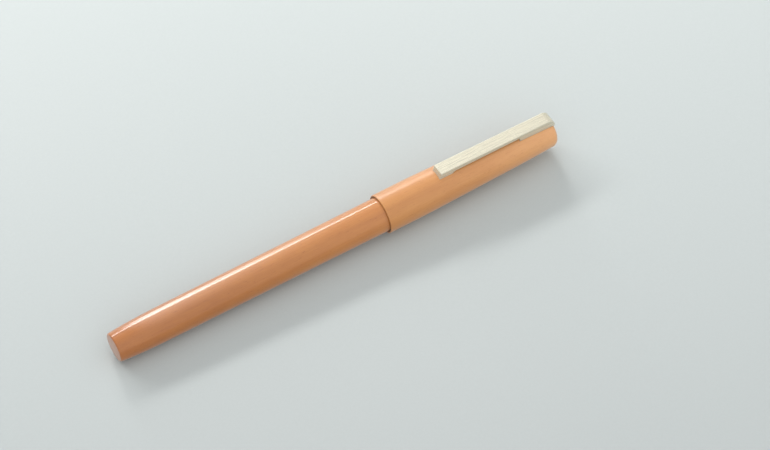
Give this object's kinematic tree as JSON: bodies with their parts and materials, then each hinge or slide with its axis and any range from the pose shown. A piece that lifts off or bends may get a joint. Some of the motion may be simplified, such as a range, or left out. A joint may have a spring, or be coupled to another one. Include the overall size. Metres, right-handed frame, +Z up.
{
  "type": "wooden rollerball pen",
  "caption": "Slim turned wooden rollerball pen lying capped, with a wider wooden cap and a flat pale metal bar clip inlaid in its crown.",
  "frame": {"origin": "middle of the capped pen's length, on the table under the pen's axis", "axes": "+X along the pen from the barrel's end to the cap's crown, +Z up through the clip"},
  "size_m": [0.138, 0.0114, 0.013],
  "materials": {
    "barrel_wood": "fine even-grained fruitwood under clear gloss lacquer",
    "cap_wood": "the same wood, a shade lighter, under clear gloss lacquer",
    "clip_metal": "pale champagne anodised, brushed lengthwise",
    "nose_metal": "pale champagne anodised, turned",
    "brass": "turned",
    "steel": "bright drawn or turned",
    "rubber": "matte",
    "black_plastic": "fine satin, moulded",
    "refill_plastic": "smooth moulded",
    "white_plastic": "smooth moulded"
  },
  "bodies": {
    "barrel": {"barrel_shell": "barrel_wood", "barrel_tube": "brass", "barrel_liner": "brass", "spring_seat": "black_plastic", "refill_spring": "steel"},
    "seal": {"section_seal": "rubber"},
    "section": {"thread_bush": "brass", "grip": "black_plastic", "nose_cone": "nose_metal"},
    "refill": {"refill_tube": "refill_plastic", "refill_plug": "white_plastic", "refill_nose": "refill_plastic", "writing_point": "steel"},
    "ball": {"tip_ball": "steel"},
    "cap_ring": {"snap_ring": "steel"},
    "cap": {"cap_shell": "cap_wood", "cap_liner": "brass", "inner_cap": "white_plastic", "clip": "clip_metal", "clip_screw": "steel"}
  },
  "joints": [
    {"name": "section_travel", "type": "slide", "parent": "barrel", "child": "seal", "axis": [1, 0, 0], "range_m": [0, 0.006]},
    {"name": "section_turn", "type": "hinge", "parent": "seal", "child": "section", "pos_m": [0.0184, 0, 0.00574], "axis": [1, 0, 0], "range_deg": [0, 2900]},
    {"name": "refill_slide", "type": "slide", "parent": "section", "child": "refill", "axis": [1, 0, 0], "range_m": [-0.0008, 0], "stiffness_N_per_m": 300, "springref_m": 0.002, "deforming": ["refill_spring"]},
    {"name": "ball_roll", "type": "hinge", "parent": "refill", "child": "ball", "pos_m": [0.05845, 0, 0.00574], "axis": [0, 1, 0], "continuous": true},
    {"name": "cap_pull", "type": "slide", "parent": "section", "child": "cap_ring", "axis": [1, 0, 0], "range_m": [0, 0.06]},
    {"name": "cap_turn", "type": "hinge", "parent": "cap_ring", "child": "cap", "pos_m": [0.022, 0, 0.00574], "axis": [1, 0, 0], "continuous": true}
  ],
  "couplings": [
    {"joint": "section_turn", "follows": "section_travel", "rad_per_m": 8377.6}
  ]
}
